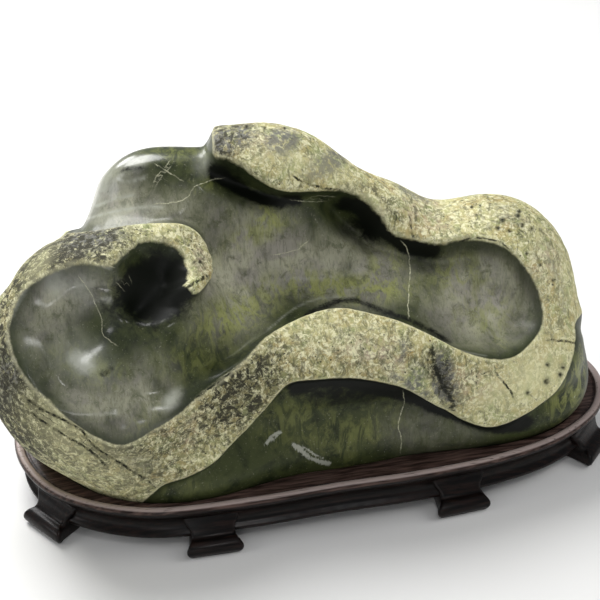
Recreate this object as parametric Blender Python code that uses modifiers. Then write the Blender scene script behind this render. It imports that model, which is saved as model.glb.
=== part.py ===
"""A scholar's rock seated in the hollow of its carved hardwood stand.

The tables are in millimetres and the model is in metres. +Z is up, +X runs along the
stone and -Y is its carved front. The origin is on the floor, under the middle.
"""
import math

import bmesh
import bpy
import numpy as np
from mathutils import Vector, noise

MM = 0.001

# ---- Stand ----
LEDGE_HEIGHT = 36.0      # the floor to the ledge round the stone
SEAT_DEPTH = 8.0         # how far the stone is sunk into the wood
RIM_OUTLINE = (          # the rim's outer edge from above, anticlockwise from the right
    (215, -10), (193, 38), (148, 73), (82, 94), (0, 100), (-82, 97), (-146, 76),
    (-192, 36), (-203, -18), (-181, -68), (-128, -99), (-60, -104), (0, -102), (58, -102),
    (114, -97), (164, -83), (202, -54),
)
SEAT_CLEARANCE = 1.0     # round the stone, inside the seat
REST_GAP = 0.3           # under the stone
APRON_BOTTOM = 10.0      # the underside between the feet
STAND_STATIONS = 72      # points round each ring of the stand
FOOT_BEARINGS = (-49.0, -17.0, 36.0, 90.0, 144.0, 197.0, 231.0)  # degrees from +X

# The wood's section, from the middle of the seat over the ledge and the rim bead, down
# the waist to the underside: (outline it follows, distance out from that, height)
WOOD_SECTION = (
    ("seat", -30.0, LEDGE_HEIGHT - SEAT_DEPTH - REST_GAP),
    ("seat", SEAT_CLEARANCE, LEDGE_HEIGHT - SEAT_DEPTH - REST_GAP),
    ("seat", SEAT_CLEARANCE, LEDGE_HEIGHT - 0.6),
    ("seat", SEAT_CLEARANCE + 0.8, LEDGE_HEIGHT),
    ("rim", -7.0, LEDGE_HEIGHT - 0.5),
    ("rim", -5.5, LEDGE_HEIGHT + 1.0),
    ("rim", -3.0, LEDGE_HEIGHT + 1.8),
    ("rim", -0.8, LEDGE_HEIGHT + 0.6),
    ("rim", 0.0, LEDGE_HEIGHT - 2.0),
    ("rim", -1.2, LEDGE_HEIGHT - 4.5),
    ("rim", -4.5, LEDGE_HEIGHT - 7.0),
    ("rim", -8.0, LEDGE_HEIGHT - 12.0),
    ("rim", -8.5, LEDGE_HEIGHT - 18.0),
    ("rim", -5.0, LEDGE_HEIGHT - 23.0),
    ("rim", -6.0, APRON_BOTTOM),
    ("rim", -34.0, APRON_BOTTOM),
)

# (distance out from the rim, height, half width) of a scroll foot, round its side view
FOOT_OUTLINE = (
    (-34.0, 20.0, 15.0), (-12.0, 25.0, 19.0), (-7.0, 21.0, 18.0), (-4.0, 16.0, 15.0),
    (-1.5, 12.5, 15.0), (2.5, 11.0, 17.0), (5.5, 8.5, 18.5), (6.5, 5.0, 19.0),
    (5.0, 1.8, 18.5), (1.5, 0.0, 17.0), (-18.0, 0.0, 14.0), (-24.0, 5.0, 14.0),
    (-34.0, 8.0, 14.0),
)
FOOT_ROUNDING = 2.5      # the bevel round each scroll foot
SHARP_ANGLE = math.radians(50.0)  # wood that turns more than this keeps an edge

# ---- Stone: the uncarved blank, as overlapping rounded masses ----
# name: (middle, half sizes)
MASSES = {
    "core": ((0, 2, 66), (192, 86, 100)),
    "summit": ((-30, 26, 178), (72, 44, 63)),
    "ridge": ((37, 22, 137), (66, 42, 57)),
    "shoulder": ((-95, 34, 161), (60, 52, 79)),
    "lobe": ((-133, -32, 117), (85, 75, 88)),
    "hump": ((134, 3, 111), (57, 60, 64)),
    "brow": ((22, -50, 100), (110, 44, 42)),
    "toe": ((126, -38, 64), (74, 49, 47)),
    "heel": ((-92, -46, 50), (62, 47, 38)),
}
MASS_BLEND = 30.0        # how widely one mass flows into the next
SPINE_HALF_LENGTH = 120.0
SPINE_HEIGHT = 85.0
STONE_REACH = (200.0, 95.0, 105.0)
FAR_OUT = 260.0          # past the stone's skin whichever way it is measured
SKIN_SEARCH = (30, 0.9)  # steps inwards to the skin, and the share of the way of each
SECTION_SEARCH = (60, 0.8)  # the same for the level section that the seat follows
STONE_SUBDIVISIONS = 7   # of the ball whose points are moved onto the skin
STONE_GRAIN = 2.2        # the fine mesh's cell size before it is thinned
STONE_SOFTENING = 0.5    # how far each of two passes evens the fine mesh
STONE_FACE_SHARE = 0.042  # the faces kept when the mesh is thinned
BASE_CUTTER_SIZE = 600.0

# ---- Stone: what is cut back from the blank ----
# The cuts are drawn on an upright sheet through the stone, in mm right of and above
# its middle, as seen from an eye in front of the carved side.
EYE_TURN = math.radians(-13.0)
EYE_TILT = math.radians(33.0)
EYE_DISTANCE = 1250.0
SHEET_MIDDLE = np.array((8.0, 45.0, 90.0))
EDGE_ROUNDING = 2.0      # how far a cut's rounded edge reaches back onto the skin

# name: (depth, width of the slope inside the outline, outline)
CUTS = {
    "valley": (13.0, 6.0, (
        (-67, 136), (-63, 118), (-61, 104), (-51, 101), (-40, 95), (-26, 84), (-10, 77),
        (13, 77), (36, 78), (50, 71), (60, 61), (68, 48), (85, 43), (100, 41), (114, 44),
        (132, 43), (149, 36), (163, 21), (172, 3), (173, -17), (163, -32), (151, -41),
        (136, -42), (118, -37), (97, -26), (74, -15), (50, -8), (26, -4), (1, -11),
        (-24, -26), (-41, -45), (-67, -66), (-87, -82), (-105, -93), (-125, -103),
        (-146, -97), (-171, -80), (-193, -59), (-205, -37), (-207, -17), (-199, 4),
        (-181, 18), (-159, 27), (-136, 26), (-125, 34), (-112, 43), (-95, 42), (-82, 34),
        (-77, 21), (-78, 13), (-72, 6), (-65, 11), (-60, 20), (-62, 33), (-69, 46),
        (-81, 54), (-98, 56), (-121, 55), (-142, 52), (-169, 50), (-189, 61),
        (-163, 107), (-128, 142))),
    "face": (15.0, 6.0, (
        (-107, -156), (-101, -135), (-80, -127), (-61, -117), (-47, -103), (-34, -90),
        (-21, -75), (-7, -60), (13, -57), (36, -56), (57, -59), (77, -65), (92, -74),
        (107, -82), (122, -89), (138, -91), (158, -84), (176, -72), (186, -60),
        (193, -44), (196, -27), (198, -13), (222, 0), (242, -92), (171, -171), (0, -185))),
    "flank": (11.0, 7.0, (
        (-242, -21), (-219, -1), (-208, 11), (-198, 26), (-185, 38), (-168, 49),
        (-185, 60), (-220, 46), (-256, 14))),
    "band cleft": (4.0, 8.0, (
        (88, -34), (97, -36), (102, -44), (106, -55), (111, -68), (114, -81), (104, -82),
        (97, -70), (92, -57), (88, -45))),
}
# Dished hollows on the sheet: (cut they lie in, middle, half sizes, turn in degrees, depth)
HOLLOWS = {
    "bowl": ("valley", (-137, -27), (76, 68), 20, 21.0),
    "under the hook": ("valley", (-98, 14), (34, 34), 0, 17.0),
    "bowl's way out": ("valley", (-62, -38), (34, 26), 40, 6.0),
    "basin": ("valley", (130, 0), (54, 48), 0, 12.0),
    "trough": ("valley", (12, 14), (95, 38), -10, 8.0),
    "left cleft": ("valley", (-32, 82), (52, 24), -30, 17.0),
    "right cleft": ("valley", (50, 60), (40, 28), -40, 19.0),
    "basin's back": ("valley", (104, 40), (44, 20), 0, 6.0),
    "shoulder slope": ("valley", (-125, 75), (62, 30), 15, 6.0),
    "lower face": ("face", (48, -92), (96, 34), 0, 5.0),
}
# Where a cut's wall is eased into a gentle slope: (middle, half sizes, turn, extra width)
EASED_WALLS = (
    ((-122, -92), (70, 40), 0, 22.0),
    ((150, -30), (46, 40), 0, 10.0),
    ((-190, -20), (30, 60), 0, 8.0),
    ((208, -42), (44, 62), 0, 26.0),
)
# Where the carving runs on round to the back: (middle, half sizes, turn)
WRAPS = (
    ((-118, 95), (92, 80), 0),
    ((215, -45), (44, 80), 0),
    ((-220, 25), (44, 60), 0),
)
WRAP_FULLNESS = 2.0      # how quickly such a place takes hold inside its oval
WRAP_REACH = 0.45        # how much further it runs there, in the measure of FRONT_FADE
FRONT_FADE = (-0.55, 0.5)  # facing at which the front's cuts begin, and their spread
BACK_CUT = 6.0           # the polished back lies this far under the skin
BACK_START = 0.40        # how far a spot faces away before the back is cut
BACK_SPREAD = 0.14       # over how much more turning away the cut deepens
BACK_WANDER = (0.25, 0.02)  # how much and how quickly the back's edge wanders
SEATED_FADE = (1.0, 42.0)  # above the ledge: no cut below the first, full by both
OUTLINE_STEPS = 6        # chords between two outline points


# ---------------------------------------------------------------- stone
def mass_distance(points, middle, half_sizes):
    """Roughly the distance from an ellipsoid, negative inside."""
    offset = points - np.array(middle, float)
    half_sizes = np.array(half_sizes, float)
    scaled = np.linalg.norm(offset / half_sizes, axis=1)
    slope = np.linalg.norm(offset / half_sizes ** 2, axis=1)
    return scaled * (scaled - 1.0) / np.maximum(slope, 1e-9)


def blank_distance(points):
    """Roughly the distance from the uncarved blank, negative inside."""
    total = None
    for middle, half_sizes in MASSES.values():
        distance = mass_distance(points, middle, half_sizes)
        if total is None:
            total = distance
            continue
        share = np.clip(0.5 + 0.5 * (distance - total) / MASS_BLEND, 0.0, 1.0)
        total = distance * (1.0 - share) + total * share - MASS_BLEND * share * (1.0 - share)
    return total


def blank_normals(points):
    """The directions in which the blank's skin faces."""
    step = 0.5
    gradient = np.empty_like(points)
    for axis in range(3):
        offset = np.zeros(3)
        offset[axis] = step
        gradient[:, axis] = blank_distance(points + offset) - blank_distance(points - offset)
    return gradient / np.linalg.norm(gradient, axis=1, keepdims=True)


def reach_blank(directions):
    """The blank's skin along rays that fan out from a level spine inside it."""
    aim = directions * np.array(STONE_REACH)
    start = np.zeros_like(aim)
    start[:, 0] = directions[:, 0] * SPINE_HALF_LENGTH
    aim -= start
    aim /= np.linalg.norm(aim, axis=1, keepdims=True)
    start[:, 2] = SPINE_HEIGHT
    reach = np.full((len(aim), 1), FAR_OUT)
    steps, share = SKIN_SEARCH
    for _ in range(steps):
        reach -= share * blank_distance(start + aim * reach)[:, None]
    return start + aim * reach


def eye_axes():
    """Right, up and towards-the-eye directions of the drawing sheet."""
    right = np.array((math.cos(EYE_TURN), math.sin(EYE_TURN), 0.0))
    toward = np.array((math.sin(EYE_TURN) * math.cos(EYE_TILT),
                       -math.cos(EYE_TURN) * math.cos(EYE_TILT),
                       math.sin(EYE_TILT)))
    return right, np.cross(toward, right), toward


def to_sheet(points):
    """Where each point shows on the drawing sheet."""
    right, up, toward = eye_axes()
    offset = points - SHEET_MIDDLE
    scale = EYE_DISTANCE / (EYE_DISTANCE - offset @ toward)
    return np.stack((offset @ right * scale, offset @ up * scale), axis=1)


def smooth_outline(corners):
    """A closed smooth curve through the corners, as short chords."""
    here = np.array(corners, float)
    before = np.roll(here, 1, axis=0)
    after = np.roll(here, -1, axis=0)
    later = np.roll(here, -2, axis=0)
    rows = []
    for t in np.arange(OUTLINE_STEPS) / OUTLINE_STEPS:
        rows.append(0.5 * (2 * here + (after - before) * t
                           + (2 * before - 5 * here + 4 * after - later) * t * t
                           + (3 * here - before - 3 * after + later) * t ** 3))
    return np.stack(rows, axis=1).reshape(-1, 2)


def depth_inside(spots, corners, reach):
    """Distance from the outline, positive inside, for spots within reach of it."""
    outline = smooth_outline(corners)
    result = np.full(len(spots), -reach)
    low = outline.min(axis=0) - reach
    high = outline.max(axis=0) + reach
    near = np.nonzero(np.all((spots > low) & (spots < high), axis=1))[0]
    best = np.full(len(near), np.inf)
    inside = np.zeros(len(near), bool)
    x, y = spots[near].T
    for (ax, ay), (bx, by) in zip(outline, np.roll(outline, -1, axis=0)):
        ex, ey = bx - ax, by - ay
        along = np.clip(((x - ax) * ex + (y - ay) * ey) / (ex * ex + ey * ey), 0.0, 1.0)
        best = np.minimum(best, (x - ax - along * ex) ** 2 + (y - ay - along * ey) ** 2)
        crosses = (ay > y) != (by > y)
        if crosses.any():
            inside ^= crosses & (x < ax + (y - ay) * ex / (ey if ey else 1e-9))
    result[near] = np.where(inside, np.sqrt(best), -np.sqrt(best))
    return np.maximum(result, -reach)


def ramp(value):
    """A smooth rise from 0 to 1."""
    value = np.clip(value, 0.0, 1.0)
    return value * value * (3.0 - 2.0 * value)


def dish(spots, middle, half_sizes, turn):
    """A smooth hollow: 1 at its middle, 0 from its oval edge outwards."""
    cosine, sine = math.cos(math.radians(turn)), math.sin(math.radians(turn))
    across, along = (spots - np.array(middle)).T
    u = (across * cosine + along * sine) / half_sizes[0]
    v = (along * cosine - across * sine) / half_sizes[1]
    return np.clip(1.0 - u * u - v * v, 0.0, None) ** 2


def cut_depths(points, normals):
    """How far the skin at each point of the blank is cut back."""
    _, _, toward = eye_axes()
    eye = SHEET_MIDDLE + toward * EYE_DISTANCE
    gaze = eye - points
    gaze /= np.linalg.norm(gaze, axis=1, keepdims=True)
    facing = np.einsum("ij,ij->i", normals, gaze)
    spots = to_sheet(points)
    eased = sum(extra * dish(spots, middle, half_sizes, turn)
                for middle, half_sizes, turn, extra in EASED_WALLS)
    shares = {}
    for name, (depth, slope, corners) in CUTS.items():
        slopes = slope + eased
        inside = depth_inside(spots, corners, EDGE_ROUNDING)
        shares[name] = ramp((inside + EDGE_ROUNDING) / (slopes + EDGE_ROUNDING))
    front = sum(CUTS[name][0] * share for name, share in shares.items())
    for within, middle, half_sizes, turn, depth in HOLLOWS.values():
        front += depth * dish(spots, middle, half_sizes, turn) * shares[within]
    wrapped = ramp(WRAP_FULLNESS * sum(dish(spots, *oval) for oval in WRAPS))
    fade_start, fade_spread = FRONT_FADE
    front *= ramp((facing + WRAP_REACH * wrapped - fade_start) / fade_spread)
    amount, pace = BACK_WANDER
    wander = np.array([noise.noise(Vector(point) * pace) for point in points])
    back = BACK_CUT * ramp((-facing - BACK_START + amount * wander) / BACK_SPREAD)
    clear, spread = SEATED_FADE
    seated = ramp((points[:, 2] - LEDGE_HEIGHT - clear) / spread)
    return np.maximum(front, back) * seated


def build_stone(material, cutter):
    """The blank's skin cut back, as an even mesh with a flat base."""
    mesh = bpy.data.meshes.new("rock")
    body = bmesh.new()
    bmesh.ops.create_icosphere(body, subdivisions=STONE_SUBDIVISIONS, radius=1.0)
    directions = np.array([vertex.co[:] for vertex in body.verts])
    skin = reach_blank(directions)
    normals = blank_normals(skin)
    skin -= normals * cut_depths(skin, normals)[:, None]
    for vertex, place in zip(body.verts, skin * MM):
        vertex.co = place
    body.to_mesh(mesh)
    body.free()
    mesh.materials.append(material)
    stone = bpy.data.objects.new("rock", mesh)
    even = stone.modifiers.new("even faces", "REMESH")
    even.mode = "VOXEL"
    even.voxel_size = STONE_GRAIN * MM
    even.use_smooth_shade = True
    soften = stone.modifiers.new("soften", "SMOOTH")
    soften.factor = STONE_SOFTENING
    soften.iterations = 2
    thin = stone.modifiers.new("fewer faces", "DECIMATE")
    thin.ratio = STONE_FACE_SHARE
    flatten = stone.modifiers.new("flat base", "BOOLEAN")
    flatten.operation = "DIFFERENCE"
    flatten.object = cutter
    return stone


def build_base_cutter():
    """The block that takes away everything of the stone below its flat base."""
    bpy.ops.mesh.primitive_cube_add(size=BASE_CUTTER_SIZE * MM)
    cutter = bpy.context.object
    for home in list(cutter.users_collection):
        home.objects.unlink(cutter)
    cutter.name = "base cutter"
    cutter.location.z = (LEDGE_HEIGHT - SEAT_DEPTH - BASE_CUTTER_SIZE / 2.0) * MM
    cutter.hide_render = True
    cutter.display_type = "WIRE"
    return cutter


# ---------------------------------------------------------------- stand
def stone_section(height):
    """The blank's radius at each bearing round the stand's middle, at one height."""
    bearings = np.arange(STAND_STATIONS) * (2.0 * math.pi / STAND_STATIONS)
    away = np.stack((np.cos(bearings), np.sin(bearings), np.zeros(STAND_STATIONS)), axis=1)
    radii = np.full(STAND_STATIONS, FAR_OUT)
    steps, share = SECTION_SEARCH
    for _ in range(steps):
        points = away * radii[:, None]
        points[:, 2] = height
        radii -= share * blank_distance(points)
    return away[:, :2] * radii[:, None]


def rim_outline():
    """The rim's outer edge at each bearing round the stand's middle."""
    curve = smooth_outline(RIM_OUTLINE)
    bearings = np.arange(STAND_STATIONS) * (2.0 * math.pi / STAND_STATIONS)
    angles = np.arctan2(curve[:, 1], curve[:, 0])
    radii = np.interp(bearings, angles, np.hypot(*curve.T), period=2.0 * math.pi)
    return np.stack((np.cos(bearings), np.sin(bearings)), axis=1) * radii[:, None]


def offset_outline(outline, width):
    """The outline moved outwards by a width."""
    along = np.roll(outline, -1, axis=0) - np.roll(outline, 1, axis=0)
    outward = np.stack((along[:, 1], -along[:, 0]), axis=1)
    outward /= np.linalg.norm(outward, axis=1, keepdims=True)
    return outline + outward * width


def shade_round(mesh):
    """Smooth shading that keeps the carved edges crisp."""
    mesh.shade_smooth()
    mesh.set_sharp_from_angle(angle=SHARP_ANGLE)


def build_stand(material):
    """The wood's section swept round the stone, before its feet are joined on."""
    outlines = {"seat": stone_section(LEDGE_HEIGHT), "rim": rim_outline()}
    body = bmesh.new()
    rings = []
    for name, out, height in WOOD_SECTION:
        ring = offset_outline(outlines[name], out)
        rings.append([body.verts.new((x * MM, y * MM, height * MM)) for x, y in ring])
    for inner, outer in zip(rings, rings[1:]):
        for i in range(STAND_STATIONS):
            j = (i + 1) % STAND_STATIONS
            body.faces.new((inner[i], outer[i], outer[j], inner[j]))
    body.faces.new(rings[0])
    body.faces.new(rings[-1])
    bmesh.ops.recalc_face_normals(body, faces=body.faces)
    mesh = bpy.data.meshes.new("stand")
    body.to_mesh(mesh)
    body.free()
    shade_round(mesh)
    mesh.materials.append(material)
    return bpy.data.objects.new("stand", mesh)


def build_foot(name, bearing):
    """A scroll foot, its outline standing square to the rim."""
    rim = rim_outline()
    station = round(bearing / 360.0 * STAND_STATIONS) % STAND_STATIONS
    here = Vector((*rim[station], 0.0))
    along = rim[(station + 1) % STAND_STATIONS] - rim[station - 1]
    outward = Vector((along[1], -along[0], 0.0)).normalized()
    sideways = Vector((-outward.y, outward.x, 0.0))
    body = bmesh.new()
    sides = []
    for side in (-1.0, 1.0):
        corners = [here + outward * out + sideways * (side * half) + Vector((0, 0, height))
                   for out, height, half in FOOT_OUTLINE]
        sides.append([body.verts.new(corner * MM) for corner in corners])
    body.faces.new(sides[0])
    body.faces.new(sides[1])
    for i in range(len(FOOT_OUTLINE)):
        j = (i + 1) % len(FOOT_OUTLINE)
        body.faces.new((sides[0][i], sides[0][j], sides[1][j], sides[1][i]))
    bmesh.ops.recalc_face_normals(body, faces=body.faces)
    mesh = bpy.data.meshes.new(name)
    body.to_mesh(mesh)
    body.free()
    shade_round(mesh)
    foot = bpy.data.objects.new(name, mesh)
    soften = foot.modifiers.new("soft edges", "BEVEL")
    soften.width = FOOT_ROUNDING * MM
    soften.segments = 1
    soften.limit_method = "ANGLE"
    soften.angle_limit = SHARP_ANGLE
    foot.hide_render = True
    foot.display_type = "WIRE"
    return foot


# ---------------------------------------------------------------- materials
def plain_material(name, colour, roughness):
    material = bpy.data.materials.new(name)
    material.use_nodes = True
    shader = material.node_tree.nodes["Principled BSDF"]
    shader.inputs["Base Color"].default_value = (*colour, 1.0)
    shader.inputs["Roughness"].default_value = roughness
    shader.inputs["Metallic"].default_value = 0.0
    return material


def main():
    for old in list(bpy.data.objects):
        bpy.data.objects.remove(old, do_unlink=True)
    part = bpy.data.collections.new("scholars rock")
    tools = bpy.data.collections.new("cutters and blanks")
    bpy.context.scene.collection.children.link(part)
    bpy.context.scene.collection.children.link(tools)
    cutter = build_base_cutter()
    tools.objects.link(cutter)
    stone = build_stone(plain_material("green stone", (0.20, 0.21, 0.13), 0.25), cutter)
    part.objects.link(stone)
    stand = build_stand(plain_material("dark hardwood", (0.035, 0.018, 0.012), 0.35))
    part.objects.link(stand)
    for number, bearing in enumerate(FOOT_BEARINGS, 1):
        foot = build_foot(f"foot blank {number}", bearing)
        tools.objects.link(foot)
        join = stand.modifiers.new(foot.name, "BOOLEAN")
        join.operation = "UNION"
        join.object = foot


main()
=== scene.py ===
"""The finished scholar's rock: polished stone with its pale skin, on a lacquered stand.

The tables are in millimetres and the model is in metres. +Z is up, +X runs along the
stone and -Y is its carved front.
"""
import math

import bmesh
import bpy
import numpy as np
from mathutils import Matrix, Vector, noise
from mathutils.bvhtree import BVHTree


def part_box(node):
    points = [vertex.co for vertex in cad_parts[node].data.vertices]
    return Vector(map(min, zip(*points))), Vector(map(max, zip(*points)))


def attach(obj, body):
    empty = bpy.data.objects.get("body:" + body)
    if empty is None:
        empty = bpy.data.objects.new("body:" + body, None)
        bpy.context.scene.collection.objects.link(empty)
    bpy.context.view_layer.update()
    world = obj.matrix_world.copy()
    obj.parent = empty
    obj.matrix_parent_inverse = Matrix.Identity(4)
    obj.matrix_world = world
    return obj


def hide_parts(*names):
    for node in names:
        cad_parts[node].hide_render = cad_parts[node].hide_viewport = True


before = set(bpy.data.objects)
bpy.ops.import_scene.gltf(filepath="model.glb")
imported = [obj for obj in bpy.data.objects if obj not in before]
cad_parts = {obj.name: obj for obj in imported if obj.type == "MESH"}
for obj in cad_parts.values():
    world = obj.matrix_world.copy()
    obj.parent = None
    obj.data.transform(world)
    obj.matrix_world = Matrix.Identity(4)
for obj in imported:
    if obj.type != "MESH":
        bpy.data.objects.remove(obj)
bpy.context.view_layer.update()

MM = 0.001

# ---- Fineness of the meshes ----
BALL_SUBDIVISIONS = 7
STONE_GRAIN = 1.05     # the cell size of the stone's even mesh
STONE_TRIANGLES = 190000
FRONT_THINNING = 0.35                    # how readily faces are merged in front
BACK_THINNING = 0.60                     # and behind
THINNING_EDGE = (-0.3, 0.4)              # (start, spread) of how far a face looks at the eye
SOFTENING = (0.5, 3)                     # strength and passes, on the even mesh
STAND_STATIONS = 360   # points round each ring of the stand
PROFILE_STEPS = 3                        # chords between two points of the wood's section
SHARP_EDGE = math.radians(38.0)          # the wood's edges that are shaded sharp

# ---- Stand ----
LEDGE_HEIGHT = 36.0
SEAT_DEPTH = 8.0
RIM_OUTLINE = (
    (215, -10), (193, 38), (148, 73), (82, 94), (0, 100), (-82, 97), (-146, 76),
    (-192, 36), (-203, -18), (-181, -68), (-128, -99), (-60, -104), (0, -102), (58, -102),
    (114, -97), (164, -83), (202, -54),
)
SEAT_CLEARANCE = 0.4
REST_GAP = 0.3
FOOT_BEARINGS = (-49.0, -17.0, 36.0, 90.0, 144.0, 197.0, 231.0)

# The wood's section in runs that each bend smoothly and meet at crisp edges: the outline
# that a run follows, and its points as (distance out from that, height over the ledge)
WOOD_RUNS = (
    ("seat", ((-30.0, -SEAT_DEPTH - REST_GAP), (SEAT_CLEARANCE, -SEAT_DEPTH - REST_GAP))),
    ("seat", ((SEAT_CLEARANCE, -1.0), (SEAT_CLEARANCE + 0.3, -0.3), (SEAT_CLEARANCE + 1.0, 0.0))),
    ("rim", ((-8.6, -0.4), (-7.4, -1.0), (-6.6, -1.1))),
    # the bead
    ("rim", ((-6.3, 0.1), (-5.2, 1.25), (-3.3, 1.75), (-1.4, 1.2), (-0.3, -0.4), (-0.2, -2.3),
             (-1.3, -4.0))),
    # the waist
    ("rim", ((-2.6, -4.6), (-2.8, -5.8), (-5.4, -8.0), (-8.0, -12.0), (-8.9, -16.0),
             (-7.9, -19.5), (-5.6, -21.6))),
    # the skirt, and the flat underside
    ("rim", ((-5.0, -22.2), (-5.0, -24.0), (-6.0, -25.4), (-7.2, -26.0))),
    ("rim", ((-34.0, -26.0),)),
)

# (distance out from the rim, height, half width) of a scroll foot, round its side view
FOOT_OUTLINE = (
    (-34.0, 20.0, 15.0), (-12.0, 25.0, 19.0), (-7.0, 21.0, 18.0), (-4.0, 16.0, 15.0),
    (-1.5, 12.5, 15.0), (2.5, 11.0, 17.0), (5.5, 8.5, 18.5), (6.4, 5.0, 19.0),
    (5.0, 1.8, 18.5), (1.5, 0.0, 17.0), (-18.0, 0.0, 14.0), (-24.0, 5.0, 14.0),
    (-34.0, 8.0, 14.0),
)
FOOT_ROUNDING = 2.4
FOOT_STEPS = 4

# ---- Stone: the uncarved blank, as overlapping rounded masses ----
# name: (middle, half sizes)
MASSES = {
    "core": ((0, 2, 66), (192, 86, 100)),
    "summit": ((-30, 26, 178), (72, 44, 63)),
    "ridge": ((37, 22, 137), (66, 42, 57)),
    "shoulder": ((-95, 34, 161), (60, 52, 79)),
    "lobe": ((-133, -32, 117), (85, 75, 88)),
    "hump": ((134, 3, 111), (57, 60, 64)),
    "brow": ((22, -50, 100), (110, 44, 42)),
    "toe": ((126, -38, 64), (74, 49, 47)),
    "heel": ((-92, -46, 50), (62, 47, 38)),
}
MASS_BLEND = 30.0
SPINE_HALF_LENGTH = 120.0
SPINE_HEIGHT = 85.0
STONE_REACH = (200.0, 95.0, 105.0)
FAR_OUT = 260.0
SKIN_SEARCH = (30, 0.9)
SECTION_SEARCH = (60, 0.8)
SLOPE_STEP = 0.5         # mm between the two readings that give a slope
TINY = 1e-9

# ---- Stone: what is cut back from the blank ----
# Cuts, marks and paint are drawn on an upright sheet through the stone, in mm right of
# and above its middle, as seen from an eye in front of the carved side.
EYE_TURN = math.radians(-13.0)
EYE_TILT = math.radians(33.0)
EYE_DISTANCE = 1250.0
SHEET_MIDDLE = np.array((8.0, 45.0, 90.0))
RIGHT = np.array((math.cos(EYE_TURN), math.sin(EYE_TURN), 0.0))
TO_EYE = np.array((math.sin(EYE_TURN) * math.cos(EYE_TILT),
                   -math.cos(EYE_TURN) * math.cos(EYE_TILT), math.sin(EYE_TILT)))
UP = np.cross(TO_EYE, RIGHT)
EDGE_ROUNDING = 2.0

# name: (depth, width of the slope inside the outline, outline)
CUTS = {
    "valley": (13.0, 6.0, (
        (-67, 136), (-63, 118), (-61, 104), (-51, 101), (-40, 95), (-26, 84), (-10, 77), (13, 77),
        (36, 78), (50, 71), (60, 61), (68, 48), (85, 43), (100, 41), (114, 44), (132, 43),
        (149, 36), (163, 21), (172, 3), (173, -17), (163, -32), (151, -41), (136, -42),
        (118, -37), (97, -26), (74, -15), (50, -8), (26, -4), (1, -11), (-24, -26), (-41, -45),
        (-67, -66), (-87, -82), (-105, -93), (-125, -103), (-146, -97), (-171, -80), (-193, -59),
        (-205, -37), (-207, -17), (-199, 4), (-181, 18), (-159, 27), (-136, 26), (-125, 34),
        (-112, 43), (-95, 42), (-82, 34), (-77, 21), (-78, 13), (-72, 6), (-65, 11), (-60, 20),
        (-62, 33), (-69, 46), (-81, 54), (-98, 56), (-121, 55), (-142, 52), (-169, 50),
        (-189, 61), (-163, 107), (-128, 142))),
    "face": (15.0, 6.0, (
        (-107, -156), (-101, -135), (-80, -127), (-61, -117), (-47, -103), (-34, -90), (-21, -75),
        (-7, -60), (13, -57), (36, -56), (57, -59), (77, -65), (92, -74), (107, -82), (122, -89),
        (138, -91), (158, -84), (176, -72), (186, -60), (193, -44), (196, -27), (198, -13),
        (222, 0), (242, -92), (171, -171), (0, -185))),
    "flank": (11.0, 7.0, (
        (-242, -21), (-219, -1), (-208, 11), (-198, 26), (-185, 38), (-168, 49), (-185, 60),
        (-220, 46), (-256, 14))),
    "band cleft": (4.0, 8.0, (
        (88, -34), (97, -36), (102, -44), (106, -55), (111, -68), (114, -81), (104, -82),
        (97, -70), (92, -57), (88, -45))),
}
POLISHED_CUTS = ("valley", "face", "flank")   # the others keep the pale skin
# Dished hollows on the sheet: (cut they lie in, middle, half sizes, turn in degrees, depth)
HOLLOWS = {
    "bowl": ("valley", (-137, -27), (76, 68), 20, 21.0),
    "under the hook": ("valley", (-98, 14), (34, 34), 0, 17.0),
    "bowl's way out": ("valley", (-62, -38), (34, 26), 40, 6.0),
    "basin": ("valley", (130, 0), (54, 48), 0, 12.0),
    "trough": ("valley", (12, 14), (95, 38), -10, 8.0),
    "left cleft": ("valley", (-32, 82), (52, 24), -30, 17.0),
    "right cleft": ("valley", (50, 60), (40, 28), -40, 19.0),
    "basin's back": ("valley", (104, 40), (44, 20), 0, 6.0),
    "shoulder slope": ("valley", (-125, 75), (62, 30), 15, 6.0),
    "lower face": ("face", (48, -92), (96, 34), 0, 5.0),
}
# Where a cut's wall is eased into a gentle slope: (middle, half sizes, turn, extra width)
EASED_WALLS = (
    ((-122, -92), (70, 40), 0, 22.0),
    ((150, -30), (46, 40), 0, 10.0),
    ((-190, -20), (30, 60), 0, 8.0),
    ((208, -42), (44, 62), 0, 26.0),
)
# Where the carving runs on round to the back: (middle, half sizes, turn)
WRAPS = (
    ((-118, 95), (92, 80), 0),
    ((215, -45), (44, 80), 0),
    ((-220, 25), (44, 60), 0),
)
WRAP_FULLNESS = 2.0
WRAP_REACH = 0.45
FRONT_FADE = (-0.55, 0.5)
BACK_CUT = 6.0
BACK_START = 0.40
BACK_SPREAD = 0.14
BACK_WANDER = (0.25, 0.02)
BACK_CURVE = 90.0        # mm of skin over which the back turns away by one
SEATED_FADE = (1.0, 42.0)
OUTLINE_STEPS = 6
EDGE_REACH = 14.0        # how far from a cut's edge the distance to it is kept
LINE_STEPS = 4           # chords between two points of a drawn line
LINE_REACH = 6.0         # how far from a drawn line the distance to it is kept
LINE_FADE = 2.0          # mm over which its strength fades there
LINE_END_FADE = 4.0      # and towards its ends

# ---- Stone: small relief ----
RELIEF_EDGE = 0.25       # relief drawn on the sheet fades where the stone turns away
SKIN_STEP = (-1.0, 2.0)  # where the skin's relief sets in, in mm from a cut's edge
SKIN_LUMPS = ((0.045, 0.55), (0.14, 0.28), (0.40, 0.12))   # (waves per mm, height)
POLISH_RIPPLES = ((0.020, 0.55), (0.055, 0.22))
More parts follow.
